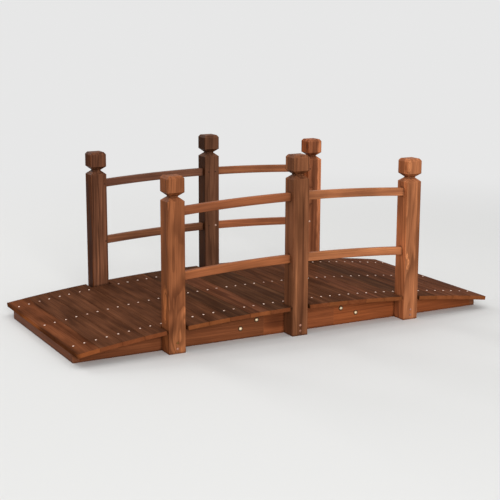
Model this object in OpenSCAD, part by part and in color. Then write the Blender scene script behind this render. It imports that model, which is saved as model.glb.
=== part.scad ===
// Moon bridge: a small arched garden footbridge of stained timber.
// Boards are nailed across three beams that are flat below and arched above. Six square posts
// stand against the outer beams, and each side has two curved rails housed in the posts.
// Millimetres. X runs along the bridge, Y across it with the near side at -Y, Z is up from the
// ground at 0, and the origin is on the ground in the middle of the bridge.

/* [Deck] */
// Number of deck boards, odd so that one lies on the crown
plank_count = 21; // [17:2:25]
// Width of a deck board, along the bridge
plank_w = 70.5; // [60:0.5:78]
// Gap between two deck boards
plank_gap = 0.5; // [0.5:0.5:8]
// Thickness of a deck board
plank_t = 13; // [10:0.5:22]
// Length of a full deck board, which is the bridge's width
plank_l = 673; // [560:1:900]
// Radius of the eased upper edges of a deck board
plank_ease = 1; // [0.5:0.5:5]
// Gap between a short deck board's end and the post that stands there
plank_clear = 1; // [0.5:0.5:3]
// Radius of the arch, measured to the top of the deck
arch_r = 5110; // [3600:10:9000]

/* [Beams] */
// Thickness of a beam
beam_t = 38; // [28:1:50]
// Height of the beams under the ends of the deck
beam_end_h = 29; // [18:1:60]
// Length of a half lap between two lengths of a beam
lap_l = 110; // [70:1:150]
// Deck boards from the crown to the middle of the left lap, counted to the left
lap_left_step = 2.2; // [1.3:0.01:3.4]
// Deck boards from the crown to the middle of the right lap
lap_right_step = 3.03; // [1.3:0.01:4.2]
// Thickness of the board that closes the beams at each end
end_board_t = 19; // [12:1:26]
// How far the last deck board reaches past the end board
end_inset = 6; // [1:1:12]

/* [Posts] */
// Side of a square post
post_w = 55; // [46:1:62]
// Deck boards from the crown to each end post
post_step = 6; // [5:1:7]
// Height of an end post's shoulder above the top rail
end_reach = 22; // [10:1:60]
// Height of a middle post's shoulder above the top rail
middle_reach = 42; // [10:1:80]
// Height of the V-shaped groove under a post's head, at its mouth
groove_h = 27; // [16:1:40]
// Height of the flat at the bottom of the groove
groove_flat = 2; // [1:0.5:6]
// Side of the neck that the groove leaves
neck_w = 25; // [16:1:36]
// Height of a post's head, above the groove
head_h = 48; // [34:1:70]
// Height of the bevel round the top of the head
bevel_h = 8; // [3:0.5:14]
// Width of that bevel, seen from above
bevel_w = 6; // [3:0.5:12]
// Radius of a post's eased upright edges
post_ease = 2; // [1:0.5:4]

/* [Rails] */
// Height of a rail
rail_h = 26; // [18:1:40]
// Thickness of a rail
rail_t = 18; // [12:1:26]
// Radius of a rail's eased edges
rail_ease = 2.5; // [1:0.5:5]
// Height of the lower rail's underside above the deck
lower_rail_rise = 137; // [90:1:200]
// Height of the top rail's underside above the deck
top_rail_rise = 333; // [270:1:420]
// Depth of the mortise that houses a rail's end
mortise_d = 20; // [10:1:22]
// Clearance round a rail's end in its mortise
mortise_clear = 0.3; // [0.1:0.1:1]

/* [Hidden] */
// Steps in a full circle of the arch, and in one of an eased edge
arch_fn = 1440;
ease_fn = 24;
// Overrun of a cut past the faces that it goes through
over = 1;

pitch = plank_w + plank_gap;
function arch_deg(length) = length / arch_r * 180 / PI;

// The deck's end, the crown and the arch's centre
deck_half = (plank_count * pitch - plank_gap) / 2;
end_x = arch_r * sin(arch_deg(deck_half));
crown_z = beam_end_h + arch_r * (1 - cos(arch_deg(deck_half))) + plank_t;
arch_z = crown_z - arch_r;
beam_top_r = arch_r - plank_t;
function height_at(r, x) = arch_z + sqrt(r * r - x * x);

// Places of the posts and beams
post_x = arch_r * sin(arch_deg(post_step * pitch));
post_y = (plank_l - post_w) / 2;
inner_y = post_y - post_w / 2;
beam_y = inner_y - beam_t / 2;
beam_end_x = end_x - end_inset - end_board_t;
short_plank_l = 2 * (inner_y - plank_clear);

// Rails: both rows are arcs about the arch's centre, from one end post to the other
rail_rises = [lower_rail_rise, top_rail_rise];
rail_top_r = arch_r + top_rail_rise + rail_h;
rail_deg = asin((post_x + post_w) / arch_r);
rail_in = post_w / 2 - mortise_d + mortise_clear;
rail_out = post_x - rail_in;

function plank_index(number) = number - (plank_count + 1) / 2;
function beside_post(index) = index == 0 || abs(index) == post_step;
function two_digits(number) = number < 10 ? str("0", number) : str(number);

// Name and direction of each place along the bridge and across it
ALONG = [["left", -1], ["middle", 0], ["right", 1]];
ENDS = [["left", -1], ["right", 1]];
SIDES = [["near", -1], ["far", 1]];
BEAMS = [["near", -1], ["centre", 0], ["far", 1]];
ROWS = [["lower", 0], ["top", 1]];

// A bar's section with its upper edge on the axis: only the two upper corners are eased
module eased_top(width, height, radius) {
    translate([-width / 2, -height]) square([width, height - radius]);
    translate([radius - width / 2, -height]) square([width - 2 * radius, height]);
    for (side = [-1, 1])
        translate([side * (width / 2 - radius), -radius]) circle(radius, $fn = ease_fn);
}

// A rectangle with its middle at the origin and all four corners eased
module eased_rect(width, height, radius) {
    square([width - 2 * radius, height], center = true);
    square([width, height - 2 * radius], center = true);
    for (x = [-1, 1], y = [-1, 1])
        translate([x * (width / 2 - radius), y * (height / 2 - radius)])
            circle(radius, $fn = ease_fn);
}

// The space from x0 to x1 along the bridge, for trimming or cutting
module span(x0, x1, y0, y1) {
    translate([x0, y0, -over]) cube([x1 - x0, y1 - y0, height_at(rail_top_r, 0) + 3 * over]);
}

// Puts what stands at the origin on top of the deck, this far along the arch, and tilts it
module on_arch(length) {
    translate([0, 0, arch_z])
        rotate([0, arch_deg(length), 0])
            translate([0, 0, arch_r])
                children();
}

// A flat board that touches the beams along its middle, with its upper edges eased all round
module plank(index) {
    length = beside_post(index) ? short_plank_l : plank_l;
    color("#74371f")
        on_arch(index * pitch)
            intersection() {
                rotate([90, 0, 0])
                    linear_extrude(length, center = true)
                        eased_top(plank_w, plank_t, plank_ease);
                rotate([90, 0, 90])
                    linear_extrude(plank_w, center = true)
                        eased_top(length, plank_t, plank_ease);
            }
}

// A beam from x0 to x1, sawn flat below and to the arch above, in the middle of the bridge
module beam_blank(x0, x1, thickness = beam_t) {
    rotate([90, 0, 0])
        linear_extrude(thickness, center = true)
            intersection() {
                translate([0, arch_z]) circle(beam_top_r, $fn = arch_fn);
                translate([x0, 0]) square([x1 - x0, crown_z]);
            }
}

// The half of a beam's thickness on one side, from x0 to x1, which a lap takes away
module lap_waste(x0, x1, side) {
    middle_y = side * beam_t / 2;
    span(x0, x1, middle_y - beam_t / 2, middle_y + beam_t / 2);
}

// One length of a beam. The outer lengths lap over the outer face of the middle one.
module beam(across, along) {
    outer = across == 0 ? -1 : across;
    left = [-lap_left_step * pitch - lap_l / 2, -lap_left_step * pitch + lap_l / 2];
    right = [lap_right_step * pitch - lap_l / 2, lap_right_step * pitch + lap_l / 2];
    color("#9a4a22")
        translate([0, across * beam_y, 0])
            difference() {
                if (along < 0) beam_blank(-beam_end_x, left[1]);
                else if (along == 0) beam_blank(left[0], right[1]);
                else beam_blank(right[0], beam_end_x);
                if (along == 0) {
                    lap_waste(left[0] - over, left[1], outer);
                    lap_waste(right[0], right[1] + over, outer);
                } else if (along < 0) {
                    lap_waste(left[0], left[1] + over, -outer);
                } else {
                    lap_waste(right[0] - over, right[1], -outer);
                }
            }
}

// The two boards that close the ends of the beams under the last deck boards
module end_boards() {
    color("#8c4220")
        for (end = [-1, 1])
            intersection() {
                beam_blank(-end_x, end_x, 2 * inner_y);
                translate([end * (beam_end_x + end_board_t / 2), 0, 0])
                    linear_extrude(crown_z)
                        square([end_board_t, 2 * inner_y + over], center = true);
            }
}

// Outline of a post: a plain shaft, the groove, and a head bevelled round its top
module post_outline(height) {
    half = post_w / 2;
    head_z = height - head_h;
    neck_z = head_z - groove_h / 2;
    right = [
        [half, 0],
        [half, head_z - groove_h],
        [neck_w / 2, neck_z - groove_flat / 2],
        [neck_w / 2, neck_z + groove_flat / 2],
        [half, head_z],
        [half, height - bevel_h],
        [half - bevel_w, height]
    ];
    left = [for (i = [len(right) - 1 : -1 : 0]) [-right[i][0], right[i][1]]];
    polygon(concat(right, left));
}

// A post as it is sawn: the outline is cut across both pairs of its faces
module post_blank(height) {
    intersection() {
        rotate([90, 0, 0]) linear_extrude(post_w, center = true) post_outline(height);
        rotate([90, 0, 90]) linear_extrude(post_w, center = true) post_outline(height);
        linear_extrude(height) eased_rect(post_w, post_w, post_ease);
    }
}

function post_height(along) =
    height_at(rail_top_r, abs(along) * post_x)
    + (along == 0 ? middle_reach : end_reach) + groove_h + head_h;

// A post with mortises in the faces that the rails meet
module post(across, along) {
    color("#a8552b")
        translate([0, across * post_y, 0])
            difference() {
                translate([along * post_x, 0, 0]) post_blank(post_height(along));
                for (rise = rail_rises, face = along == 0 ? [-1, 1] : [-along])
                    mortise(rise, along * post_x + face * post_w / 2, face);
            }
}

// The space for a rail's end, square in section, cut inwards from the post's face at x
module mortise(rise, x, face) {
    reach = [x - face * mortise_d, x + face * over];
    intersection() {
        rail_sweep(rise - mortise_clear)
            square([rail_h + 2 * mortise_clear, rail_t + 2 * mortise_clear], center = true);
        span(min(reach), max(reach), -post_w, post_w);
    }
}

// Sweeps a rail's section along its arc, on the line between the post centres
module rail_sweep(rise) {
    translate([0, 0, arch_z])
        rotate([90, 0, 0])
            rotate([0, 0, 90 - rail_deg])
                rotate_extrude(angle = 2 * rail_deg, $fn = arch_fn)
                    translate([arch_r + rise + rail_h / 2, 0])
                        children();
}

// One rail, from a middle post to an end post
module rail(row, across, end) {
    reach = [end * rail_in, end * rail_out];
    color("#9d4c27")
        translate([0, across * post_y, 0])
            intersection() {
                rail_sweep(rail_rises[row]) eased_rect(rail_h, rail_t, rail_ease);
                span(min(reach), max(reach), -rail_t, rail_t);
            }
}

for (b = BEAMS) for (a = ALONG)
    beam(b[1], a[1]);
end_boards();
for (s = SIDES) for (a = ALONG)
    post(s[1], a[1]);
for (r = ROWS) for (s = SIDES) for (e = ENDS)
    rail(r[1], s[1], e[1]);
for (n = [1 : plank_count])
    plank(plank_index(n));
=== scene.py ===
# %% [markdown]
# # A small moon bridge in stained fir
# The timbers of the bridge come from its construction model and stay exactly where they are. What is
# made here is what a maker sees on them: the figure of the wood, the stain, the rubbed edges, and the
# small nails, bolts and screws that hold the timbers together.

import math
import random

import bmesh
import bpy
from mathutils import Matrix, Vector


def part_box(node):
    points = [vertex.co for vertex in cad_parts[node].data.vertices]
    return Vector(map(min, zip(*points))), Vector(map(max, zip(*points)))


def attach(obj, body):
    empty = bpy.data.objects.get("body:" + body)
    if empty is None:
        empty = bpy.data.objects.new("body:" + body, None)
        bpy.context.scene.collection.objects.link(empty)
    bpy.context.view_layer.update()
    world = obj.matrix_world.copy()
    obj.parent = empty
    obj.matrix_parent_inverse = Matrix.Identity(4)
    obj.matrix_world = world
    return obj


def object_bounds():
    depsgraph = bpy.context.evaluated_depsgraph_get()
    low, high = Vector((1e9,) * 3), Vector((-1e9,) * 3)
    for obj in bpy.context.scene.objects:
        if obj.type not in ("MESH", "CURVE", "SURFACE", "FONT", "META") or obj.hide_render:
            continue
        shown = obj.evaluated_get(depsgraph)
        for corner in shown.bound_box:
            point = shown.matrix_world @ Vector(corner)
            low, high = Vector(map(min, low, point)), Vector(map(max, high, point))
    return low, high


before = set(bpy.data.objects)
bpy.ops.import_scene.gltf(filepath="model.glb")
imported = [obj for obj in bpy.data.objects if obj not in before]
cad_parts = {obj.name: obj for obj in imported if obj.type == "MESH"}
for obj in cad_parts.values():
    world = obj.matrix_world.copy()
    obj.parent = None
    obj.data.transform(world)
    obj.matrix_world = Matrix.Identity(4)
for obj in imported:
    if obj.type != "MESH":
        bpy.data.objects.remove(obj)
cad_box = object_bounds()
low, high = (Vector(corner) for corner in cad_box)
print("timbers:", len(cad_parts), "size in metres:", [round(v, 3) for v in high - low])

# %% [markdown]
# ## The sizes that the fittings follow
# Nails, bolts and screws have to land on the timbers, so their places are worked out from the same
# few sizes that the timbers were cut to. Whatever the timbers themselves can tell is read from them,
# and only the rest, such as the radius of the arch, is written down.

# %% Measure the timbers
BOARDS = sorted(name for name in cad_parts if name.startswith("plank_"))
BOARD_PITCH = 0.071
ARCH_RADIUS = 5.110
UP, ALONG_BRIDGE, ACROSS_BRIDGE = Vector((0, 0, 1)), Vector((1, 0, 0)), Vector((0, 1, 0))

CROWN = len(BOARDS) // 2
deck_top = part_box(BOARDS[CROWN])[1].z
arch_centre = Vector((0, 0, deck_top - ARCH_RADIUS))
post_low, post_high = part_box("post_near_right")
post_side = post_high.x - post_low.x
outer_y, inner_y = abs(post_low.y), abs(post_high.y)
print("deck top at", round(deck_top, 4), "posts", round(post_side, 4), "wide")


def on_deck(board_step, across):
    """A point on the top of the deck, this many boards from the crown, and the deck's tilt there."""
    tilt = board_step * BOARD_PITCH / ARCH_RADIUS
    point = arch_centre + Vector((ARCH_RADIUS * math.sin(tilt), across, ARCH_RADIUS * math.cos(tilt)))
    return point, tilt


def middle_of(name):
    """The middle of a timber's box."""
    box_low, box_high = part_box(name)
    return (box_low + box_high) / 2


# %% [markdown]
# ## The camera
# The photograph was taken from the left, from about twice the bridge's height, with a long lens. The
# camera's place was solved from the rows of nails on the deck, which gave its turn, its tilt and the
# lens as well. Three plain turns keep them readable: swing it round, tip it down, then roll it.

# %% Set up the camera
CAMERA_PLACE = Vector((-1.8529, -3.4269, 1.0330))
CAMERA_TURN = 0.4959
CAMERA_TIP = 0.2073
CAMERA_ROLL = 0.0035
FOCAL_PIXELS, PICTURE_PIXELS = 1181.88, 500
SENSOR_WIDTH = 36

camera_data = bpy.data.cameras.new("photo_camera")
camera_data.sensor_fit = "HORIZONTAL"
camera_data.sensor_width = SENSOR_WIDTH
camera_data.lens = SENSOR_WIDTH * FOCAL_PIXELS / PICTURE_PIXELS
camera = bpy.data.objects.new("photo_camera", camera_data)
bpy.context.scene.collection.objects.link(camera)
aim = (Matrix.Rotation(-CAMERA_TURN, 4, "Z")
       @ Matrix.Rotation(math.pi / 2 - CAMERA_TIP, 4, "X")
       @ Matrix.Rotation(CAMERA_ROLL, 4, "Z"))
camera.matrix_world = Matrix.Translation(CAMERA_PLACE) @ aim
bpy.context.scene.camera = camera
print("lens", round(camera_data.lens, 1), "mm")

# %% [markdown]
# ## Writing node trees
# Every finish below is a small tree of shader nodes. A few helpers keep the writing short: the first
# adds any node with its settings and its inputs, and the others add the nodes that come up most. An
# input may be a number, a colour or the output of another node, and the helpers tell them apart.


# %% Helpers for shader nodes
def add(tree, kind, inputs=(), **settings):
    """Adds a node to the tree, sets it up, and fills its inputs with values or links."""
    node = tree.nodes.new(kind)
    for name, value in settings.items():
        setattr(node, name, value)
    for key, value in dict(inputs).items():
        if isinstance(value, bpy.types.NodeSocket):
            tree.links.new(value, node.inputs[key])
        else:
            node.inputs[key].default_value = value
    return node


def maths(tree, operation, *values):
    """One Math node on numbers or outputs."""
    return add(tree, "ShaderNodeMath", enumerate(values), operation=operation).outputs[0]


def vectors(tree, operation, *values):
    """One Vector Math node on vectors or outputs."""
    node = add(tree, "ShaderNodeVectorMath", enumerate(values), operation=operation)
    return node.outputs["Value" if operation in ("LENGTH", "DOT_PRODUCT") else "Vector"]


def scaled(tree, value, factor):
    """A vector or a colour times a number."""
    return add(tree, "ShaderNodeVectorMath", {0: value, "Scale": factor}, operation="SCALE").outputs[0]


def ramp(tree, value, start, end, low=0.0, high=1.0):
    """Turns a value into a soft step from low to high as it goes from start to end."""
    inputs = {"Value": value, "From Min": start, "From Max": end, "To Min": low, "To Max": high}
    return add(tree, "ShaderNodeMapRange", inputs, interpolation_type="SMOOTHSTEP").outputs[0]


def noise(tree, place, stretch, detail=2.0):
    """Soft noise with so many waves to the metre along each axis."""
    stretched = vectors(tree, "MULTIPLY", place, stretch)
    return add(tree, "ShaderNodeTexNoise", {"Vector": stretched, "Scale": 1.0, "Detail": detail})


def blend(tree, amount, first, second, way="MIX"):
    """Mixes two colours, which a Mix node takes at its inputs 6 and 7 and gives back at output 2."""
    inputs = {0: amount, 6: first, 7: second}
    return add(tree, "ShaderNodeMix", inputs, data_type="RGBA", blend_type=way).outputs[2]


# %% [markdown]
# ## Groups and colours
# A node group is a small machine with named sockets. It is built once and placed wherever its effect is
# needed, with values of its own each time. Colours are written as codes, the way that paint is ordered,
# and turned into the amounts of light that Blender counts in.


# %% Helpers for groups and colours
def new_group(name, inputs, outputs):
    """Starts a node group and returns its tree, its input sockets by name and its output node."""
    tree = bpy.data.node_groups.new(name, "ShaderNodeTree")
    kinds = {"number": "NodeSocketFloat", "vector": "NodeSocketVector", "colour": "NodeSocketColor"}
    for socket, kind in inputs.items():
        tree.interface.new_socket(socket, in_out="INPUT", socket_type=kinds[kind])
    for socket, kind in outputs.items():
        tree.interface.new_socket(socket, in_out="OUTPUT", socket_type=kinds[kind])
    start = tree.nodes.new("NodeGroupInput")
    end = tree.nodes.new("NodeGroupOutput")
    return tree, start.outputs, end


def colour(code):
    """A colour as a painter names it, such as #8c4a2a, turned into the light values that Blender uses."""
    parts = [int(code[i:i + 2], 16) / 255 for i in (1, 3, 5)]
    return tuple(p / 12.92 if p <= 0.04045 else ((p + 0.055) / 1.055) ** 2.4 for p in parts) + (1.0,)


# %% [markdown]
# ## The figure of the wood
# A sawn timber shows slices of the tree's growth rings. A flat picture of grain looks wrong where two
# faces meet, so the rings are made as they grow: as tubes round the pith, a line that runs roughly
# along the timber. Any face cut through those tubes then gets the right figure, straight lines on one
# face, flames on the next and arcs on the end. The timber's own axes are X along the grain, and Y and Z
# across it. A slow noise bends the tubes, and a lift lets a knot push them aside.

# %% Build the growth rings group
WIDTH_WAVE, WIDTH_CHANGE = 0.37, 2.2
LATE_START, LATE_FULL = 0.42, 0.90
tree, given, out = new_group(
    "growth_rings",
    {"Place": "vector", "Pith": "vector", "Lean": "vector", "Ring Width": "number",
     "Bend": "number", "Lift": "number"},
    {"Late Wood": "number", "Ring Tone": "number"})
slow = noise(tree, given["Place"], (1.9, 12, 12), detail=1.5)
quick = noise(tree, given["Place"], (8, 45, 45), detail=1.0)
bent = given["Place"]
for wave, share in ((slow, 1.0), (quick, 0.22)):
    shift = vectors(tree, "SUBTRACT", wave.outputs["Color"], (0.5, 0.5, 0.5))
    size = maths(tree, "MULTIPLY", given["Bend"], share)
    bent = vectors(tree, "ADD", bent, scaled(tree, shift, size))
along = add(tree, "ShaderNodeSeparateXYZ", {0: bent}).outputs["X"]
centre_line = vectors(tree, "ADD", given["Pith"], scaled(tree, given["Lean"], along))
from_pith = vectors(tree, "MULTIPLY", vectors(tree, "SUBTRACT", bent, centre_line), (0, 1, 1))
years = maths(tree, "DIVIDE", vectors(tree, "LENGTH", from_pith), given["Ring Width"])
slowly = maths(tree, "MULTIPLY", years, WIDTH_WAVE)
uneven = add(tree, "ShaderNodeTexNoise", {"W": slowly, "Detail": 1.0, "Scale": 1.0},
             noise_dimensions="1D").outputs[0]
years = maths(tree, "ADD", years, maths(tree, "MULTIPLY", uneven, WIDTH_CHANGE))
years = maths(tree, "ADD", years, given["Lift"])
season = maths(tree, "FRACT", years)
late = maths(tree, "MULTIPLY", ramp(tree, season, LATE_START, LATE_FULL),
             ramp(tree, season, 1.0, LATE_FULL))
tone = add(tree, "ShaderNodeTexWhiteNoise", {"W": maths(tree, "FLOOR", years)}, noise_dimensions="1D")
tree.links.new(late, out.inputs["Late Wood"])
tree.links.new(tone.outputs["Value"], out.inputs["Ring Tone"])
print("growth rings group:", len(tree.nodes), "nodes")

# %% [markdown]
# ## Knots
# A knot is a branch that the trunk grew round. Its heart is dark, the wood round it takes the stain
# lightly, and the rings flow past it in the shape of an eye. The group measures how far a point is from
# the branch, in knot sizes, on a measure that reaches further along the grain than across it. The heart,
# the halo and the depth that the knot goes to each fade between two such distances.

# %% Build the knot group
KNOT_LENGTH = 2.4
HEART_FADE, HALO_FADE, DEPTH_FADE = (1.1, 0.1), (2.6, 1.0), (3.0, 1.5)
EYE_SHARPNESS = 0.22
tree, given, out = new_group(
    "knot",
    {"Place": "vector", "Knot": "vector", "Across": "vector", "Size": "number", "Darkness": "number",
     "Glow": "number", "Push": "number"},
    {"Lift": "number", "Heart": "number", "Halo": "number"})
offset = vectors(tree, "SUBTRACT", given["Place"], given["Knot"])
along = add(tree, "ShaderNodeSeparateXYZ", {0: offset}).outputs["X"]
along = maths(tree, "DIVIDE", along, KNOT_LENGTH)
side = vectors(tree, "DOT_PRODUCT", offset, given["Across"])
branch = vectors(tree, "CROSS_PRODUCT", given["Across"], (1, 0, 0))
depth = maths(tree, "ABSOLUTE", vectors(tree, "DOT_PRODUCT", offset, branch))
squares = maths(tree, "ADD", maths(tree, "MULTIPLY", along, along), maths(tree, "MULTIPLY", side, side))
reach = maths(tree, "DIVIDE", maths(tree, "SQRT", squares), given["Size"])
near = ramp(tree, maths(tree, "DIVIDE", depth, given["Size"]), *DEPTH_FADE)
fall = maths(tree, "MULTIPLY", maths(tree, "MULTIPLY", reach, reach), -EYE_SHARPNESS)
hill = maths(tree, "MULTIPLY", maths(tree, "EXPONENT", fall), near)
tree.links.new(maths(tree, "MULTIPLY", hill, given["Push"]), out.inputs["Lift"])
heart = maths(tree, "MULTIPLY", ramp(tree, reach, *HEART_FADE), near)
tree.links.new(maths(tree, "MULTIPLY", heart, given["Darkness"]), out.inputs["Heart"])
halo = maths(tree, "MULTIPLY", ramp(tree, reach, *HALO_FADE), near)
tree.links.new(maths(tree, "MULTIPLY", halo, given["Glow"]), out.inputs["Halo"])
print("knot group:", len(tree.nodes), "nodes")

# %% [markdown]
# ## Stain
# The stain sinks deep into some fibres and sits lightly on others, so the same coat gives several
# tones: a body colour, a deep one in the late wood, and a light one in long streaks. One group mixes
# the three, and also gives the sheen and the height, because hard late wood stands proud of the soft
# wood and shines a little more.

# %% Build the stain group
KNOT_HEART = "#33160d"
HALO_SHARE, HALO_LIGHT = 0.85, 1.7
LATE_SHINE, LATE_HEIGHT = 0.08, 0.45
tree, given, out = new_group(
    "stain_on_grain",
    {"Place": "vector", "Late Wood": "number", "Ring Tone": "number", "Heart": "number", "Halo": "number",
     "Body": "colour", "Deep": "colour", "Light": "colour", "Figure": "number", "Streaks": "number",
     "Patches": "number"},
    {"Colour": "colour", "Roughness": "number", "Height": "number"})
fibre = noise(tree, given["Place"], (30, 1500, 1500)).outputs["Fac"]
thread = noise(tree, given["Place"], (7, 330, 330)).outputs["Fac"]
streak = noise(tree, given["Place"], (1.5, 75, 75)).outputs["Fac"]
cloud = noise(tree, given["Place"], (5.5, 22, 22)).outputs["Fac"]
ring_tone = ramp(tree, given["Ring Tone"], 0.0, 1.0, 0.25, 1.0)
ring_depth = maths(tree, "MULTIPLY", given["Late Wood"], ring_tone)
ring_depth = maths(tree, "MULTIPLY", ring_depth, given["Figure"])
light_part = maths(tree, "MULTIPLY", ramp(tree, streak, 0.52, 0.66), given["Streaks"])
deep_part = maths(tree, "MULTIPLY", ramp(tree, streak, 0.49, 0.35), given["Streaks"])
shade = blend(tree, light_part, given["Body"], given["Light"])
halo_part = maths(tree, "MULTIPLY", given["Halo"], HALO_SHARE)
shade = blend(tree, halo_part, shade, scaled(tree, given["Light"], HALO_LIGHT))
shade = blend(tree, maths(tree, "MAXIMUM", ring_depth, deep_part), shade, given["Deep"])
shade = blend(tree, ramp(tree, thread, 0.60, 0.36, 0.0, 0.45), shade, given["Deep"])
shade = blend(tree, given["Heart"], shade, colour(KNOT_HEART))
patch = maths(tree, "MULTIPLY", ramp(tree, cloud, 0.30, 0.70, -0.26, 0.22), given["Patches"])
brightness = maths(tree, "MULTIPLY", maths(tree, "ADD", patch, 1.0),
                   ramp(tree, fibre, 0.2, 0.8, 0.92, 1.08))
tree.links.new(scaled(tree, shade, brightness), out.inputs["Colour"])
rough = maths(tree, "SUBTRACT", ramp(tree, fibre, 0.2, 0.8, 0.44, 0.60),
              maths(tree, "MULTIPLY", given["Late Wood"], LATE_SHINE))
tree.links.new(rough, out.inputs["Roughness"])
height = maths(tree, "MULTIPLY", given["Late Wood"], LATE_HEIGHT)
for wave, share in ((thread, 0.45), (fibre, 0.35)):
    height = maths(tree, "ADD", height, maths(tree, "MULTIPLY", wave, share))
tree.links.new(height, out.inputs["Height"])
print("stain group:", len(tree.nodes), "nodes")

# %% [markdown]
# ## Rubbed edges, and painted shade in corners
# Stain is thin where an edge has been sanded round and where boots and hands pass, so the edges are a little
# lighter. Only the deck boards' edges are darker, which is painted shade between the boards. A Bevel node
# looks a few millimetres round each point: where the surface turns within that distance, its normal differs
# from the face's own, and the difference is the mask. In an inner corner shade falls, so there an Ambient
# Occlusion node that looks only a centimetre out gives a second mask, for painted shade, and takes the first
# one away.

# %% Build the group for edges and corners
CORNER_REACH = 0.011
tree, given, out = new_group(
    "edges_and_corners", {"Place": "vector", "Width": "number"}, {"Edge": "number", "Corner": "number"})
rounded = add(tree, "ShaderNodeBevel", {"Radius": given["Width"]}, samples=6).outputs[0]
flat = add(tree, "ShaderNodeNewGeometry").outputs["Normal"]
turn = maths(tree, "SUBTRACT", 1.0, vectors(tree, "DOT_PRODUCT", rounded, flat))
patchy = noise(tree, given["Place"], (35, 120, 120)).outputs["Fac"]
edge_wear_and_shade = maths(tree, "MULTIPLY", ramp(tree, turn, 0.01, 0.14), ramp(tree, patchy, 0.35, 0.65, 0.2, 1.0))
# painted shade in inner corners: the less open sky the Ambient Occlusion node finds, the darker
open_sky = add(tree, "ShaderNodeAmbientOcclusion", {"Distance": CORNER_REACH}, samples=6).outputs["AO"]
corner = ramp(tree, open_sky, 0.90, 0.45)
edge = maths(tree, "MULTIPLY", edge_wear_and_shade, maths(tree, "SUBTRACT", 1.0, corner))
tree.links.new(edge, out.inputs["Edge"])
tree.links.new(corner, out.inputs["Corner"])
print("edges and corners group:", len(tree.nodes), "nodes")

# %% [markdown]
# ## Marks round the nails
# A hammered nail crushes the wood round its head, and rain leaves a dark ring there. The nails lie in
# rows, so one group folds the board onto a single nail with a distance that repeats, and gives back
# the ring's darkness.

# %% Build the nail mark group
NAIL_ROWS = (-0.258, 0.0, 0.258)
NAIL_SPREAD = 0.0171
MARK_FADE, TOP_FADE = (0.0055, 0.002), (0.006, 0.002)
tree, given, out = new_group("nail_mark", {"Place": "vector"}, {"Mark": "number"})
parts = add(tree, "ShaderNodeSeparateXYZ", {0: given["Place"]}).outputs
rows_away = maths(tree, "FRACT", maths(tree, "ADD", maths(tree, "DIVIDE", parts["X"], NAIL_ROWS[2]), 0.5))
to_row = maths(tree, "MULTIPLY", maths(tree, "SUBTRACT", rows_away, 0.5), NAIL_ROWS[2])
to_line = maths(tree, "SUBTRACT", maths(tree, "ABSOLUTE", parts["Y"]), NAIL_SPREAD)
distance = maths(tree, "SQRT", maths(tree, "ADD", maths(tree, "MULTIPLY", to_row, to_row),
                                    maths(tree, "MULTIPLY", to_line, to_line)))
on_top = ramp(tree, maths(tree, "ABSOLUTE", parts["Z"]), *TOP_FADE)
tree.links.new(maths(tree, "MULTIPLY", ramp(tree, distance, *MARK_FADE), on_top), out.inputs["Mark"])
print("nail mark group:", len(tree.nodes), "nodes")

# %% [markdown]
# ## Painted shade along the seams
# The group paints shade on a board in a band a few millimetres wide along its two long edges, where shade
# falls between the boards, more in one place than in the next, where a slow noise lets it.

# %% Build the painted seam shade group
SEAM_SHADE_START, SEAM_SHADE_FULL = 0.022, 0.036
tree, given, out = new_group("painted_seam_shade", {"Place": "vector", "Amount": "number"}, {"Seam Shade": "number"})
from_middle = maths(tree, "ABSOLUTE", add(tree, "ShaderNodeSeparateXYZ", {0: given["Place"]}).outputs["Y"])
spread = noise(tree, given["Place"], (5, 9, 9), detail=1.5).outputs["Fac"]
# painted shade towards the long edges, patchy along them
seam_shading = maths(tree, "MULTIPLY", ramp(tree, from_middle, SEAM_SHADE_START, SEAM_SHADE_FULL),
             ramp(tree, spread, 0.38, 0.58))
tree.links.new(maths(tree, "MULTIPLY", seam_shading, given["Amount"]), out.inputs["Seam Shade"])
print("painted seam shade group:", len(tree.nodes), "nodes")

# %% [markdown]
# ## Painted shade on faces
# A face can take a tint of its own that paints shade on it, and on a few faces light, by the way that the
# face looks. The group compares the way that a face looks with a direction, and tints it where the two agree.

# %% Build the painted face shade group
LOOKS_ASIDE, LOOKS_THERE = 0.5, 0.9
tree, given, out = new_group(
    "painted_face_shade", {"Shade": "colour", "Direction": "vector", "Tint": "colour"}, {"Shade": "colour"})
facing = add(tree, "ShaderNodeNewGeometry").outputs["Normal"]
agreement = vectors(tree, "DOT_PRODUCT", facing, given["Direction"])
turned_there = ramp(tree, agreement, LOOKS_ASIDE, LOOKS_THERE)
face_shading = blend(tree, 1.0, given["Shade"], given["Tint"], "MULTIPLY")
tree.links.new(blend(tree, turned_there, given["Shade"], face_shading), out.inputs["Shade"])
print("painted face shade group:", len(tree.nodes), "nodes")

# %% [markdown]
# ## Sawn ends
# The end of a board drinks up the stain in its own way, because there the fibres are cut across. The
# deck boards' ends show along both sides of the bridge, so this group tells them by the direction
# across the bridge and gives them a tone of their own.

# %% Build the sawn end group
END_SHARE = 0.7
tree, given, out = new_group("sawn_end", {"Shade": "colour", "End Tone": "colour"}, {"Shade": "colour"})
facing = add(tree, "ShaderNodeNewGeometry").outputs["Normal"]
cut_across = maths(tree, "ABSOLUTE", vectors(tree, "DOT_PRODUCT", facing, ACROSS_BRIDGE))
end_part = ramp(tree, cut_across, 0.6, 0.9, 0.0, END_SHARE)
tree.links.new(blend(tree, end_part, given["Shade"], given["End Tone"]), out.inputs["Shade"])
print("sawn end group:", len(tree.nodes), "nodes")

# %% [markdown]
# ## A timber's own axes
# The groups above think in a timber's own axes: along the grain, across it, and up from its face. Two
# directions and a place are enough to find them. A coat of stain is written as one colour, as a painter
# would name it, and its deeper and lighter tones follow from that.


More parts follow.
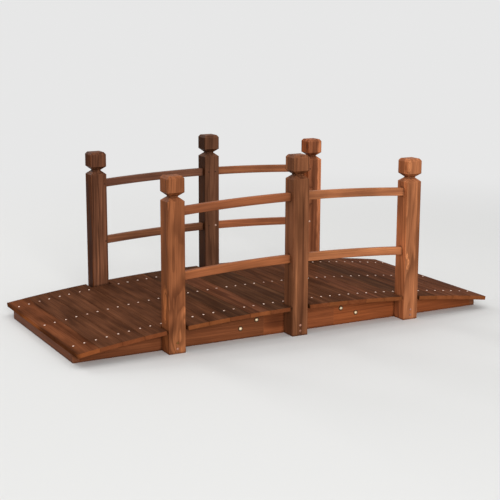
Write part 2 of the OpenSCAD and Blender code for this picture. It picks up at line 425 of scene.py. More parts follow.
# %% Find a timber's axes and its coat
def timber_axes(along, up, origin):
    """The place and the turn of a timber's own axes: X along the grain, Z up from its face."""
    x_axis = along.normalized()
    z_axis = (up - up.dot(x_axis) * x_axis).normalized()
    y_axis = z_axis.cross(x_axis)
    turn = Matrix((x_axis, y_axis, z_axis)).transposed()
    return origin, turn.to_euler("XYZ")


def coat(code, deep=0.5, light=1.5):
    """A stain's body colour, with the deeper and the lighter tone that it takes on other fibres."""
    body = colour(code)
    dark = tuple(part * deep * share for part, share in zip(body, (1.0, 0.94, 0.98)))
    pale = tuple(part * light * share for part, share in zip(body, (1.0, 1.04, 1.0)))
    return body, dark + (1.0,), pale + (1.0,)


# %% [markdown]
# ## Knots, painted seam shade and nail stains on a timber
# A material puts the shared groups to work. Placing one is a single line, and its values may be plain or come
# from other nodes. A timber can have several knots, whose lifts, hearts and halos are added up, and a deck
# board gets painted shade along its seams and a dark stain round its nails.

# %% Helpers that use the shared groups
SEAM_SHADE = 0.35
NAIL_STAIN, NAIL_STAIN_SHARE = "#261611", 0.6


def use_group(tree, name, **values):
    """Puts a shared group into a material. A value is a number, a colour or another node's output."""
    inputs = {socket.replace("_", " "): value for socket, value in values.items()}
    return add(tree, "ShaderNodeGroup", inputs, node_tree=bpy.data.node_groups[name])


def add_knots(tree, board_place, knots, rings, stain):
    """Feeds the lifts of the knots into the rings, and their hearts and halos into the stain."""
    sums = {"Lift": 0.0, "Heart": 0.0, "Halo": 0.0}
    for spot, across, size, darkness, glow, push in knots:
        knot = use_group(tree, "knot", Place=board_place, Knot=spot, Across=across, Size=size,
                         Darkness=darkness, Glow=glow, Push=push)
        for output in sums:
            sums[output] = maths(tree, "ADD", sums[output], knot.outputs[output])
    tree.links.new(sums["Lift"], rings.inputs["Lift"])
    tree.links.new(sums["Heart"], stain.inputs["Heart"])
    tree.links.new(sums["Halo"], stain.inputs["Halo"])


def shade_seams_and_stain_nails(tree, place, board_place, amount, shade, height):
    """Paints shade on a deck board along its seams, stains it round its nails, and sinks the wood at the
    nails.
    """
    seam_shading = use_group(tree, "painted_seam_shade", Place=place, Amount=amount).outputs["Seam Shade"]
    # painted shade along the seams
    shade = blend(tree, seam_shading, shade, scaled(tree, shade, SEAM_SHADE))
    mark = use_group(tree, "nail_mark", Place=board_place).outputs["Mark"]
    shade = blend(tree, maths(tree, "MULTIPLY", mark, NAIL_STAIN_SHARE), shade, colour(NAIL_STAIN))
    return shade, maths(tree, "SUBTRACT", height, mark)


# %% [markdown]
# ## One finish for each timber
# No two timbers come from the same tree, so each gets a material of its own, with its own pith, lean
# and coat, while the groups above are shared. A Mapping node of the kind that undoes a placing turns
# the scene's axes into the timber's. Each timber is then cut from a stretch of its own along an endless
# tree, or all would show the same streaks.

# %% Make a timber's material
TREE_STEP = 1.7
EDGE_WIDTH = 0.004
CORNER_SHADE, BOARD_EDGE_SHADE = 0.35, 0.35
GRAIN_RELIEF, GRAIN_STRENGTH = 0.0006, 0.5


def timber_material(name, axes, tones, pith, lean=(0, 0.012, 0.02), ring=0.008, bend=0.02,
                    figure=0.8, streaks=0.8, patches=1.0, knots=(), tints=(), edge=0.3,
                    gloss=0.05, worn=True, end_tone=None, seams=0.0):
    """Stained wood with its own figure.

    tones come from coat, tints are (direction, colour) and paint shade, and on a few faces light, where a
    face looks that way, and knots are (place, direction across the branch, size, darkness, glow, push), all
    in the timber's own axes but the tints' directions.
    """
    start = TREE_STEP * len(bpy.data.materials)
    pith = Vector(pith) - start * Vector(lean)
    material = bpy.data.materials.new(name)
    material.use_nodes = True
    tree = material.node_tree
    shader = tree.nodes["Principled BSDF"]
    scene_place = add(tree, "ShaderNodeTexCoord").outputs["Object"]
    mapping = add(tree, "ShaderNodeMapping", {"Vector": scene_place}, vector_type="TEXTURE")
    mapping.inputs["Location"].default_value, mapping.inputs["Rotation"].default_value = axes
    board_place = mapping.outputs[0]
    place = vectors(tree, "ADD", board_place, (start, 0, 0))
    rings = use_group(tree, "growth_rings", Place=place, Pith=pith, Lean=lean, Ring_Width=ring, Bend=bend)
    stain = use_group(tree, "stain_on_grain", Place=place, Body=tones[0], Deep=tones[1], Light=tones[2],
                      Figure=figure, Streaks=streaks, Patches=patches,
                      Late_Wood=rings.outputs["Late Wood"], Ring_Tone=rings.outputs["Ring Tone"])
    if knots:
        add_knots(tree, board_place, knots, rings, stain)
    shade, height = stain.outputs["Colour"], stain.outputs["Height"]
    if end_tone:
        shade = use_group(tree, "sawn_end", Shade=shade, End_Tone=colour(end_tone)).outputs["Shade"]
    # the tints paint shade, and on a few faces light, by the way a face looks
    for direction, tint in tints:
        face_shading = use_group(tree, "painted_face_shade", Shade=shade, Direction=direction, Tint=tint)
        shade = face_shading.outputs["Shade"]
    if seams:
        shade, height = shade_seams_and_stain_nails(tree, place, board_place, seams, shade, height)
    wear_and_shade = use_group(tree, "edges_and_corners", Place=place, Width=EDGE_WIDTH)
    # worn edges turn lighter; the deck boards' edges get painted shade instead
    edge_tone = tones[2] if worn else scaled(tree, shade, BOARD_EDGE_SHADE)
    shade = blend(tree, maths(tree, "MULTIPLY", wear_and_shade.outputs["Edge"], edge), shade, edge_tone)
    # painted shade in inner corners
    shade = scaled(tree, shade, ramp(tree, wear_and_shade.outputs["Corner"], 0.0, 1.0, 1.0, CORNER_SHADE))
    bump = add(tree, "ShaderNodeBump",
               {"Strength": GRAIN_STRENGTH, "Distance": GRAIN_RELIEF, "Height": height})
    tree.links.new(shade, shader.inputs["Base Color"])
    tree.links.new(stain.outputs["Roughness"], shader.inputs["Roughness"])
    tree.links.new(bump.outputs[0], shader.inputs["Normal"])
    shader.inputs["Specular IOR Level"].default_value = gloss
    return material


def dress(node_name, material):
    """Puts one material on a timber."""
    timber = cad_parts[node_name]
    for slot in timber.material_slots:
        slot.material = material
    print(node_name, "has", material.name)


# %% [markdown]
# ## Posts
# The six posts are sawn from near the heart of the tree, so they show bold figure that runs up the post,
# straight on most of them and on a slant where the grain leans. The heads are cut from the same piece, so the
# figure carries on through the groove. Each post in the photograph has a tone of its own: the near right one
# is the brightest, and the left and middle ones of the far side are the darkest. Their faces towards the left
# end get a tint of painted shade, strongest on those two, and on the near right one painted light. The
# undersides of the heads get painted shade too. The direction for them is longer than one, so that the slopes
# of the groove count as well.

# %% Choose the posts' coats
TO_LEFT = (-1, 0, 0)
# painted shade on the undersides of the heads and the slopes of the groove
UNDERSIDE = ((0, 0, -1.3), (0.75, 0.68, 0.60, 1))
POSTS = {
    # name: coat, tint of painted shade and light on the face towards the left end, pith, lean, figure,
    # streaks
    "post_near_left": ("#965b3a", (0.87, 0.80, 0.69, 1), (0, -0.020, 0.002), (0, 0.07, 0.05), 0.7, 0.3),
    "post_near_middle": ("#835237", (0.99, 0.98, 0.96, 1), (0, 0.03, 0.05), (0, 0, 0.01), 0.5, 0.85),
    "post_near_right": ("#b2704a", (1.14, 1.01, 0.92, 1), (0, -0.01, 0.02), (0, 0.08, 0.03), 0.7, 0.4),
    "post_far_left": ("#794e38", (0.55, 0.34, 0.10, 1), (0, 0.03, 0.0), (0, 0.03, 0.02), 0.95, 0.95),
    "post_far_middle": ("#6d4834", (0.33, 0.25, 0.16, 1), (0, -0.042, 0.01), (0, 0.01, 0.02), 0.6, 0.6),
    "post_far_right": ("#a56443", (0.72, 0.54, 0.36, 1), (0, 0.03, -0.03), (0, 0.01, 0.03), 0.7, 0.7),
}

# %% [markdown]
# ## Knots and streaks in the posts
# Pale and dark knots sit on three of the posts, and soft patches, which push no rings aside, lighten two of
# them. The one low on the near left post's left face, under the deck, is painted light in the shade there. On
# the far right post a dark streak of heartwood runs up beside a pale one of sapwood. Each streak is a row of
# such patches, set so close that they flow together. The near left post grew faster and less straight than
# the others, so its rings are wider and bend more.

# %% Place the knots and finish the posts
LEFT_FACE = FRONT_FACE = -post_side / 2
WIDE_RINGS, NARROW_RINGS = {"ring": 0.011, "bend": 0.06}, {"ring": 0.0095, "bend": 0.04}
HEARTWOOD = [((0.11 + 0.06 * step, -0.006, FRONT_FACE), (0, 1, 0), 0.023, 0.45, 0.0, 0.0)
             for step in range(7)]
SAPWOOD = [((0.10 + 0.05 * step, 0.021, FRONT_FACE), (0, 1, 0), 0.0062, 0.0, 0.8, 0.0)
           for step in range(9)]
POST_KNOTS = {
    # name: place up the post, along the bridge and across it; direction across; size; darkness; glow; push
    "post_near_left": [((0.165, LEFT_FACE, -0.002), (0, 0, 1), 0.008, 0.0, 1.4, 2.6),
                       ((0.115, LEFT_FACE, 0.002), (0, 0, 1), 0.005, 0.0, 0.8, 2.6),
                       # a soft patch of painted light in the shade under the deck
                       ((0.020, LEFT_FACE, 0.0), (0, 0, 1), 0.0085, 0.0, 0.45, 0.0),
                       ((0.165, -0.004, FRONT_FACE), (0, 1, 0), 0.030, 0.45, 0.0, 0.9),
                       ((0.080, -0.012, FRONT_FACE), (0, 1, 0), 0.018, 0.4, 0.0, 1.6),
                       ((0.110, 0.027, FRONT_FACE), (0, 1, 0), 0.008, 0.0, 0.6, 1.2),
                       ((0.030, 0.004, FRONT_FACE), (0, 1, 0), 0.012, 0.0, 0.6, 1.5)],
    "post_near_middle": [((0.435, 0.0, FRONT_FACE), (0, 1, 0), 0.012, 0.0, 0.13, 0.0)],
    "post_near_right": [((0.216, -0.020, FRONT_FACE), (0, 1, 0), 0.0022, 0.0, 1.0, 2.6),
                        ((0.196, -0.015, FRONT_FACE), (0, 1, 0), 0.0026, 0.3, 1.0, 2.6),
                        ((0.178, -0.018, FRONT_FACE), (0, 1, 0), 0.0020, 0.0, 1.0, 2.6),
                        ((0.513, -0.019, FRONT_FACE), (0, 1, 0), 0.0042, 0.0, 0.4, 2.2),
                        ((0.508, LEFT_FACE, -0.016), (0, 0, 1), 0.0075, 0.5, 0.0, 1.2)],
    "post_far_right": [((0.330, -0.008, FRONT_FACE), (0, 1, 0), 0.006, 0.6, 0.3, 2.6),
                       ((0.512, LEFT_FACE, -0.013), (0, 0, 1), 0.0100, 0.8, 0.0, 2.2),
                       *HEARTWOOD, *SAPWOOD],
}
for name, (code, left_tint, pith, lean, figure, streaks) in POSTS.items():
    middle = middle_of(name)
    axes = timber_axes(UP, ACROSS_BRIDGE, Vector((middle.x, middle.y, 0)))
    growth = WIDE_RINGS if name == "post_near_left" else NARROW_RINGS
    dress(name, timber_material(name + "_stain", axes, coat(code, deep=0.42), pith, lean, **growth,
                                figure=figure, streaks=streaks, gloss=0.02,
                                knots=POST_KNOTS.get(name, ()),
                                tints=[(TO_LEFT, left_tint), UNDERSIDE]))

# %% [markdown]
# ## Rails
# Each curved rail is sawn from a straight board, so its grain runs along the line between its two ends
# and runs out at the curved edges. On the whole the rails are the lightest timbers, above all in the
# right bays, and those on the far side in the left bay took the most stain.

# %% Finish the rails
RAIL_COATS = {
    "lower_rail_near_left": "#975a38", "lower_rail_near_right": "#b6734b",
    "lower_rail_far_left": "#7f5138", "lower_rail_far_right": "#a76543",
    "top_rail_near_left": "#915637", "top_rail_near_right": "#ac6d48",
    "top_rail_far_left": "#724b39", "top_rail_far_right": "#955d3e",
}
for name, code in RAIL_COATS.items():
    middle = middle_of(name)
    axes = timber_axes(Vector((1, 0, -middle.x / ARCH_RADIUS)), -ACROSS_BRIDGE, middle)
    pith = (0, 0.03, -0.035 if "_far_" in name else 0.04)
    dress(name, timber_material(name + "_stain", axes, coat(code, deep=0.6, light=1.35), pith,
                                ring=0.004, bend=0.008, figure=0.55, streaks=0.6))

# %% [markdown]
# ## Beams and end boards
# The beams are sawn from wider planks, so the flames on their faces are long and low. The lengths come from
# different planks, so the tone changes at each lap: the one at the left of the near side is the darkest and
# the one at the right the most orange. The middle length on the near side has a painted shadow of the near
# middle post left of its centre, which is the knot group again, wide and with no rings pushed aside. Faces
# towards the left end get a tint of painted shade.

# %% Finish the beams
BEAM_COATS = {"beam_near_left": "#824b2e", "beam_near_middle": "#965432", "beam_near_right": "#9b5530"}
HIDDEN_BEAM_COAT = "#825036"
# a tint of painted shade on faces towards the left end
BEAM_LEFT_TINT = (0.82, 0.68, 0.52, 1)
# a painted shadow of the near middle post, left of it on the beam
POST_SHADOW_PATCHES = {"beam_near_middle": [((-0.085, 0, 0), (0, 0, 1), 0.034, 0.62, 0.0, 0.0)]}
for name in (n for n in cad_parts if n.startswith("beam_") or n == "end_boards"):
    run = ACROSS_BRIDGE if name == "end_boards" else ALONG_BRIDGE
    code = BEAM_COATS.get(name, HIDDEN_BEAM_COAT)
    dress(name, timber_material(name + "_stain", timber_axes(run, UP, middle_of(name)), coat(code),
                                pith=(0, 0.03, -0.05), ring=0.012, bend=0.025, figure=0.4, streaks=0.25,
                                patches=0.35, knots=POST_SHADOW_PATCHES.get(name, ()),
                                tints=[(TO_LEFT, BEAM_LEFT_TINT)]))

# %% [markdown]
# ## Deck boards
# The deck's boards run across the bridge. Their tops are the darkest wood on it: the boards took a darker
# stain, and a tint of painted shade darkens every face that looks up, while their sawn ends keep a warmer
# brown. Every board is flat-sawn with a pith of its own below or above it, and three coats tell dark, plain
# and light boards apart. The boards at the left end show their figure and streaks less. Boards are numbered
# from that end, and the first is redder than all others and has the most painted shade along its seams.

# %% Finish the deck boards
PLAIN_COAT, PLAIN_END, DARK_END = "#834d30", "#844b29", "#774025"
BOARD_COATS = {1: "#9b5531"}
BOARD_COATS.update({number: "#75482e" for number in (8, 10, 11, 17)})
BOARD_COATS.update({number: "#935536" for number in (9, 15, 19, 20, 21)})
DARK_ENDS = {2, 3, 4, 8, 10, 12, 14}
QUIET_BOARDS = 7
# painted shade: a darker tint on every face that looks up
SHADED_TOP = ((0, 0, 1), (0.52, 0.605, 0.74, 1))
# a slight tint of painted light and shade on faces towards the left end
BOARD_LEFT_TINT = (1.0, 1.04, 0.92, 1)
dice = random.Random(7)
for number, name in enumerate(BOARDS, 1):
    top, tilt = on_deck(number - 1 - CROWN, 0.0)
    normal = Vector((math.sin(tilt), 0, math.cos(tilt)))
    code = BOARD_COATS.get(number, PLAIN_COAT)
    pith = (0, dice.uniform(-0.03, 0.03), dice.choice((-1, 1)) * dice.uniform(0.015, 0.05))
    lean = (0, dice.uniform(-0.03, 0.03), dice.uniform(-0.05, 0.05))
    axes = timber_axes(ACROSS_BRIDGE, normal, top)
    bold = 0.35 if number <= QUIET_BOARDS else 0.6
    # seams sets the painted shade along a board's seams, most on the first board
    dress(name, timber_material(name + "_stain", axes, coat(code, deep=0.45), pith, lean=lean,
                                ring=0.012, bend=0.04, figure=bold, streaks=bold, patches=1.5 - bold,
                                tints=[SHADED_TOP, (TO_LEFT, BOARD_LEFT_TINT)], edge=0.5, worn=False,
                                end_tone=DARK_END if number in DARK_ENDS else PLAIN_END, gloss=0.001,
                                seams=1.0 if number == 1 else 0.18))

# %% [markdown]
# ## Tarnish and painted shade
# Small fixings catch the light, so even they need more than one tone: bright metal on the crown, a darker rim
# where the dome falls away, which is painted shade, dull patches where rain has stood, painted shade on the
# side that looks down, and a fine tooth that breaks up the shine. The rim is found with the direction that
# the fixing looks in: the more a face turns from it, the darker it gets.

# %% Build the tarnish group
RIM_FADE, RIM_SHADE = (0.97, 0.70), 0.45
SHADED_SIDE, BELOW_SHADE_TONE = (0.45, 0.0, -0.9), 0.25
tree, given, out = new_group(
    "tarnish",
    {"Place": "vector", "Bright": "colour", "Dull": "colour", "Grime": "number", "Outward": "vector",
     "Rim": "number"},
    {"Colour": "colour", "Roughness": "number", "Height": "number"})
tooth = noise(tree, given["Place"], (1400, 1400, 1400)).outputs["Fac"]
patches = noise(tree, given["Place"], (170, 170, 170), detail=3.0).outputs["Fac"]
dullness = ramp(tree, patches, 0.42, 0.66)
tone = blend(tree, dullness, given["Bright"], given["Dull"])
facing = add(tree, "ShaderNodeNewGeometry").outputs["Normal"]
crown = maths(tree, "ABSOLUTE", vectors(tree, "DOT_PRODUCT", facing, given["Outward"]))
# painted shade on the rim, where the dome turns away
rim = maths(tree, "MULTIPLY", ramp(tree, crown, *RIM_FADE), given["Rim"])
tone = blend(tree, rim, tone, scaled(tree, given["Dull"], RIM_SHADE))
# painted shade on the side that looks down
below = ramp(tree, vectors(tree, "DOT_PRODUCT", facing, SHADED_SIDE), 0.0, 0.6)
below_shaded = maths(tree, "MULTIPLY", below, given["Grime"])
tree.links.new(blend(tree, below_shaded, tone, scaled(tree, given["Dull"], BELOW_SHADE_TONE)), out.inputs["Colour"])
rough = maths(tree, "ADD", ramp(tree, dullness, 0.0, 1.0, 0.30, 0.58), maths(tree, "MULTIPLY", tooth, 0.08))
tree.links.new(rough, out.inputs["Roughness"])
tree.links.new(tooth, out.inputs["Height"])
print("tarnish group:", len(tree.nodes), "nodes")

# %% [markdown]
# ## The metals
# The nails and the domed bolts were plated, in zinc and in yellow zinc, and the nuts are plainer. Each metal
# is the tarnish group with a bright and a dull tone. Only the bolts' domes are big enough to show the rim of
# painted shade, and they get the most painted shade on the side that looks down. The bolts' near-white bright
# tone is partly a painted highlight.

# %% Make the metals
TOOTH_RELIEF, TOOTH_STRENGTH = 0.0002, 0.3
METAL_GLOSS = 0.2


def metal(name, bright, dull, metallic, below_shade=0.5, rim=0.0):
    """Metal with dull patches between two tones, and painted shade on its rim and on its underside."""
    material = bpy.data.materials.new(name)
    material.use_nodes = True
    tree = material.node_tree
    shader = tree.nodes["Principled BSDF"]
    place = add(tree, "ShaderNodeTexCoord").outputs["Object"]
    tarnish = use_group(tree, "tarnish", Place=place, Bright=colour(bright), Dull=colour(dull),
                        Grime=below_shade, Outward=ACROSS_BRIDGE, Rim=rim)
    tooth = tarnish.outputs["Height"]
    bump = add(tree, "ShaderNodeBump",
               {"Strength": TOOTH_STRENGTH, "Distance": TOOTH_RELIEF, "Height": tooth})
    tree.links.new(tarnish.outputs["Colour"], shader.inputs["Base Color"])
    tree.links.new(tarnish.outputs["Roughness"], shader.inputs["Roughness"])
    tree.links.new(bump.outputs[0], shader.inputs["Normal"])
    shader.inputs["Metallic"].default_value = metallic
    shader.inputs["Specular IOR Level"].default_value = METAL_GLOSS
    return material


NAIL_METAL = metal("nail_zinc", "#fcdfcd", "#c89b86", 0.1)
FOOT_METAL = metal("foot_zinc", "#b88672", "#966754", 0.1)
OLIVE_METAL = metal("foot_tarnished", "#7b5426", "#523512", 0.05)
# the near-white bright tone is partly a painted highlight
BOLT_METAL = metal("bolt_yellow_zinc", "#fff2d2", "#efbf86", 0.40, below_shade=1.0, rim=0.9)
NUT_METAL = metal("nut_zinc", "#b9b6ae", "#77726a", 0.8)
# a dark tone that paints shade: the rings round the bolt heads and the heads of sunk screws and nails
DARK_STEEL_AND_SHADE = metal("dark_steel_and_painted_shade", "#3a1c0c", "#231108", 0.05)

# %% [markdown]
# ## Turned fixings
# Nails, screws, bolts, nuts and washers are all turned shapes, so each is drawn as half of its outline,
# in millimetres from its axis and above the wood, and swept round. One piece holds all fixings of a
# kind, or a whole row of them, which keeps the list of pieces short. A nut is the same sweep in six
# steps.

# %% Make turned pieces
MM = 0.001
CREASE = math.radians(38)


def turned(name, outline, places, material, steps=20):
    """One piece with a copy of the outline swept round at each place, riding on the bridge."""
    shape = bmesh.new()
    for place in places:
        rings = []
        for radius, height in outline:
            around = [math.tau * step / steps for step in range(steps)] if radius else [0.0]
            points = [(radius * math.cos(a) * MM, radius * math.sin(a) * MM, height * MM) for a in around]
            rings.append([shape.verts.new(place @ Vector(point)) for point in points])
        for lower, upper in zip(rings, rings[1:]):
            for step in range(steps):
                corners = [lower[step % len(lower)], lower[(step + 1) % len(lower)],
                           upper[(step + 1) % len(upper)], upper[step % len(upper)]]
                shape.faces.new(list(dict.fromkeys(corners)))
    bmesh.ops.remove_doubles(shape, verts=shape.verts, dist=MM / 1000)
    bmesh.ops.recalc_face_normals(shape, faces=shape.faces)
    mesh = bpy.data.meshes.new(name)
    shape.to_mesh(mesh)
    shape.free()
    mesh.polygons.foreach_set("use_smooth", [True] * len(mesh.polygons))
    mesh.set_sharp_from_angle(angle=CREASE)
    mesh.materials.append(material)
    piece = bpy.data.objects.new(name, mesh)
    bpy.context.scene.collection.objects.link(piece)
    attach(piece, "root")
    print(name, "holds", len(places), "of a kind,", len(mesh.polygons), "faces")


def on_side(x, y, z, side):
    """A place on an upright face that looks to the near side, -1, or to the far side, 1."""
    return Matrix.Translation((x, y, z)) @ Matrix.Rotation(-side * math.pi / 2, 4, "X")


# %% [markdown]
# ## Nails in the deck
# Two nails hold each board to each beam. They were driven by hand, so no two sit quite alike: each one
# is moved by less than a millimetre each way and leans by three degrees at most. The pair at the far
# left post, on the fifth board, does not show in the photograph, so it is left out here too.

# %% Drive the deck nails
NAIL_HEAD = [(0, -7), (1.1, -6), (1.1, -0.3), (3.0, -0.3), (3.1, 0.3), (2.7, 0.9), (1.5, 1.3), (0, 1.4)]
MISSING_NAILS = ("far", 5)
WANDER_X, WANDER_Y, LEAN = 0.7, 0.9, 3
dice = random.Random(21)
for row, across in zip(("near", "centre", "far"), NAIL_ROWS):
    places = []
    for number in range(1, len(BOARDS) + 1):
        top, tilt = on_deck(number - 1 - CROWN, across)
        board = Matrix.Translation(top) @ Matrix.Rotation(tilt, 4, "Y")
        for side in (-1, 1):
            shift = Vector((dice.uniform(-WANDER_X, WANDER_X), dice.uniform(-WANDER_Y, WANDER_Y), 0)) * MM
            shift.x += side * NAIL_SPREAD
            lean = Matrix.Rotation(math.radians(dice.uniform(-LEAN, LEAN)), 4, dice.choice(("X", "Y")))
            if (row, number) != MISSING_NAILS:
                places.append(board @ Matrix.Translation(shift) @ lean)
    turned("deck_nails_" + row, NAIL_HEAD, places, NAIL_METAL, steps=14)

# %% [markdown]
# ## Bolts through the laps
# Two domed bolts on a diagonal pull each half lap together, with a washer and a nut on the other face of the
# beam. A thin dark ring round each head is a painted shadow. The pairs on the near beam were measured in the
# photograph, and the other two beams are made alike.

# %% Bolt the laps
BOLT_HEAD = [(0, -3), (3, -3), (3, 0), (6.1, 0), (6.2, 0.6), (5.7, 1.8), (4.3, 2.9), (2.3, 3.6), (0, 3.8)]
HEAD_SHADOW_RING = [(3, 0), (8.0, 0), (7.8, 0.5), (3, 0.5)]
WASHER = [(3, 0), (8, 0), (8, 1.2), (3, 1.2), (3, 0)]
NUT = [(3, 1.2), (5.8, 1.2), (5.8, 5.4), (5.1, 6.2), (3, 6.2), (3, 1.2)]
BOLT_END = [(0, -2), (3, -2), (3, 7.4), (2.3, 8.2), (0, 8.2)]
LAP_BOLTS = ((-0.1842, 0.0330), (-0.1274, 0.0549), (0.1863, 0.0544), (0.2445, 0.0327))
beam_inner_y = abs(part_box("beam_near_middle")[1].y)
centre_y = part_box("beam_centre_middle")[1].y
heads, ends = [], []
for x, z in LAP_BOLTS:
    for side in (-1, 1):
        heads.append(on_side(x, side * inner_y, z, side))
        ends.append(on_side(x, side * beam_inner_y, z, -side))
    heads.append(on_side(x, -centre_y, z, -1))
    ends.append(on_side(x, centre_y, z, 1))
turned("lap_bolt_heads", BOLT_HEAD, heads, BOLT_METAL, steps=24)
# a dark ring under each bolt head: painted shadow round the head
turned("lap_bolt_shadow_rings", HEAD_SHADOW_RING, heads, DARK_STEEL_AND_SHADE, steps=24)

# %% [markdown]
# ## Bolts through the feet of the posts
# Each post is held to its beam by two bolts, one above the other, which show as small pale heads near
# the ground. The upper one of the near left post has gone dark. They share their washers and nuts with
# the lap bolts, so all of these are made here.

# %% Bolt the posts
FOOT_HEAD = [(0, -4), (2.2, -4), (2.2, 0), (3.9, 0), (3.9, 0.6), (3.2, 1.6), (1.5, 2.1), (1.1, 1.4), (0, 1.4)]
FOOT_HEIGHTS = (0.0155, 0.034)
feet, tarnished = [], []
for name in POSTS:
    x = middle_of(name).x
    side = -1 if "_near_" in name else 1
    for z in FOOT_HEIGHTS:
        is_dark = name == "post_near_left" and z == max(FOOT_HEIGHTS)
        (tarnished if is_dark else feet).append(on_side(x, side * outer_y, z, side))
        ends.append(on_side(x, side * beam_inner_y, z, -side))
turned("foot_bolt_heads", FOOT_HEAD, feet, FOOT_METAL)
turned("foot_bolt_tarnished", FOOT_HEAD, tarnished, OLIVE_METAL)
turned("bolt_washers", WASHER, ends, NUT_METAL, steps=24)
turned("bolt_nuts", NUT, ends, NUT_METAL, steps=6)
turned("bolt_ends", BOLT_END, ends, NUT_METAL)

# %% [markdown]
# ## Screws at the rails' ends
# A screw through the post's inner face pins each rail in its mortise, a millimetre above the middle of the
# rail, and a little higher where a lower rail meets a middle post. The heads at the lower rails of the right
# bays are bright. The others were sunk so deep that only a dark spot shows, and here each is a flat dark head
# at the surface, which is painted shade for its hole.

# %% Screw the rails
SCREW_HEAD = [(0, -5), (1.6, -4), (2.9, -0.4), (2.9, 0.15), (1.3, 0.3), (1.0, -0.5), (0, -0.5)]
SUNK_HEAD = [(0, -5), (1.6, -4), (2.5, -0.2), (2.4, 0.08), (0, 0.04)]
MIDDLE_POST_SCREW, END_POST_SCREW = 0.0131, 0.0205
RAIL_RISES, RAIL_HALF_DEPTH = {"lower": 0.137, "top": 0.333}, 0.013
ABOVE_CENTRE, FURTHER_ABOVE = 0.001, 0.0045
end_post_x = middle_of("post_near_right").x
bright, sunk = [], []
for name in (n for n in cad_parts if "_rail_" in n):
    row, _, side_name, end_name = name.split("_")
    side, end = (-1 if side_name == "near" else 1), (-1 if end_name == "left" else 1)
    reach = ARCH_RADIUS + RAIL_RISES[row] + RAIL_HALF_DEPTH
    for x, at_middle in ((MIDDLE_POST_SCREW, True), (end_post_x - END_POST_SCREW, False)):
        rise = FURTHER_ABOVE if at_middle and row == "lower" else ABOVE_CENTRE
        z = arch_centre.z + math.sqrt(reach ** 2 - x ** 2) + rise
        is_bright = row == "lower" and end > 0
        (bright if is_bright else sunk).append(on_side(end * x, side * inner_y, z, -side))
turned("rail_screws_bright", SCREW_HEAD, bright, NAIL_METAL)
# flat dark heads at the surface, painted shade for the holes of deep-sunk screws
turned("rail_screws_sunk", SUNK_HEAD, sunk, DARK_STEEL_AND_SHADE)

# %% [markdown]
# ## Nails in the end boards
# Each end board is nailed into the ends of the three beams behind it. Their heads are flat dark discs at the
# surface, painted shade for sunk nails.

# %% Nail the end boards
END_NAIL_SPOTS = ((-0.006, 0.009), (0.006, 0.021))
end_low, end_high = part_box("end_boards")
beam_y = (inner_y + beam_inner_y) / 2
places = []
for side, x in ((-1, end_low.x), (1, end_high.x)):
    for across in (-beam_y, 0.0, beam_y):
        for shift, z in END_NAIL_SPOTS:
            spot = Matrix.Translation((x, across + shift, z))
            places.append(spot @ Matrix.Rotation(side * math.pi / 2, 4, "Y"))
# flat dark heads, painted shade for sunk nails
turned("end_board_nails", SUNK_HEAD, places, DARK_STEEL_AND_SHADE, steps=14)

# %% [markdown]
# ## Floor and backdrop
# The bridge stands on a plain pale floor, big enough to reach the horizon. Lamps fade with distance, so
# the floor would turn grey far away. From a few metres out the camera sees it in the backdrop's own
# tone instead, and the two join without a line. Light on its way to the bridge meets a darker floor
# than the camera does, so the undersides of the heads and boards stay as deep as in the photograph.
# The floor keeps the bridge's shadow.

# %% Lay the floor
FLOOR_REACH = 60.0
FLOOR_FADE = (1.4, 3.6)
FLOOR_SEEN, FLOOR_UNSEEN = (0.74, 0.74, 0.73, 1), (0.35, 0.35, 0.31, 1)
FLOOR_ROUGHNESS, BACKDROP = 0.9, 0.80


def seen_directly(tree):
    """1 for what is seen, straight or in a shine, and 0 for light on its way to a surface."""
    path = add(tree, "ShaderNodeLightPath").outputs
    shiny = maths(tree, "MAXIMUM", path["Is Glossy Ray"], path["Is Transmission Ray"])
    return maths(tree, "MAXIMUM", path["Is Camera Ray"], shiny)


floor_mesh = bpy.data.meshes.new("floor")
shape = bmesh.new()
bmesh.ops.create_circle(shape, cap_ends=True, segments=96, radius=FLOOR_REACH)
shape.to_mesh(floor_mesh)
shape.free()
floor = bpy.data.objects.new("floor", floor_mesh)
bpy.context.scene.collection.objects.link(floor)

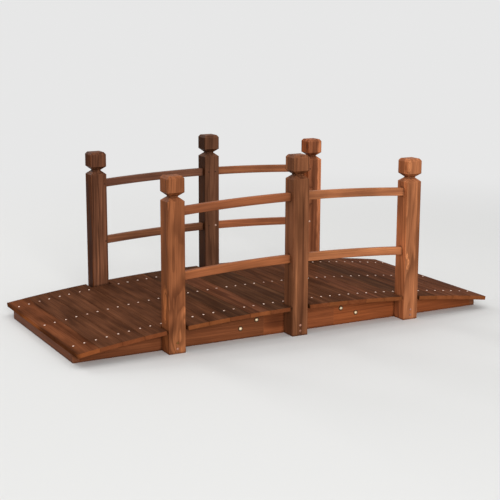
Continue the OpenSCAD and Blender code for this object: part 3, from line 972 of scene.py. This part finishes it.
paint = bpy.data.materials.new("pale_floor")
paint.use_nodes = True
tree = paint.node_tree
shader = tree.nodes["Principled BSDF"]
ground_tone = blend(tree, seen_directly(tree), FLOOR_UNSEEN, FLOOR_SEEN)
tree.links.new(ground_tone, shader.inputs["Base Color"])
shader.inputs["Roughness"].default_value = FLOOR_ROUGHNESS
away = vectors(tree, "LENGTH", add(tree, "ShaderNodeTexCoord").outputs["Object"])
part = maths(tree, "MULTIPLY", seen_directly(tree), ramp(tree, away, *FLOOR_FADE))
glow = add(tree, "ShaderNodeEmission", {"Color": (BACKDROP, BACKDROP, BACKDROP, 1), "Strength": 1.0})
mixed = add(tree, "ShaderNodeMixShader", {0: part, 1: shader.outputs[0], 2: glow.outputs[0]})
tree.links.new(mixed.outputs[0], tree.nodes["Material Output"].inputs["Surface"])
floor_mesh.materials.append(paint)
print("floor reaches", FLOOR_REACH, "m")

# %% [markdown]
# ## Light
# One wide lamp stands far off in front, low enough to reach under the edge of the deck. A faint one
# hangs overhead, a third one behind lights the far side, and the pale sky fills the shadows. They are
# set so that a face towards the camera shows its colour about as it is written.


# %% Hang the lamps
def lamp(name, place, target, size, power):
    """A square soft lamp at a place, aimed at a target."""
    light = bpy.data.lights.new(name, "AREA")
    light.size = size
    light.energy = power
    holder = bpy.data.objects.new(name, light)
    bpy.context.scene.collection.objects.link(holder)
    holder.location = place
    holder.rotation_euler = (target - place).to_track_quat("-Z", "Y").to_euler()
    print(name, "gives", power, "W")


SKY_LIGHT = 0.58
middle_height = Vector((0, 0, 0.25))
lamp("key_lamp", Vector((-2.4, -7.1, 2.5)), middle_height, 3.0, 370)
lamp("top_lamp", Vector((0, 0.5, 4.0)), middle_height, 3.5, 40)
lamp("back_lamp", Vector((-2.4, 6.6, 3.6)), middle_height, 3.0, 160)

world = bpy.data.worlds.new("studio")
bpy.context.scene.world = world
world.use_nodes = True
tree = world.node_tree
background = tree.nodes["Background"]
sky = add(tree, "ShaderNodeMapRange",
          {"Value": seen_directly(tree), "To Min": SKY_LIGHT, "To Max": BACKDROP})
tree.links.new(sky.outputs[0], background.inputs["Strength"])
background.inputs["Color"].default_value = (1, 1, 1, 1)
bpy.context.scene.view_settings.view_transform = "Standard"
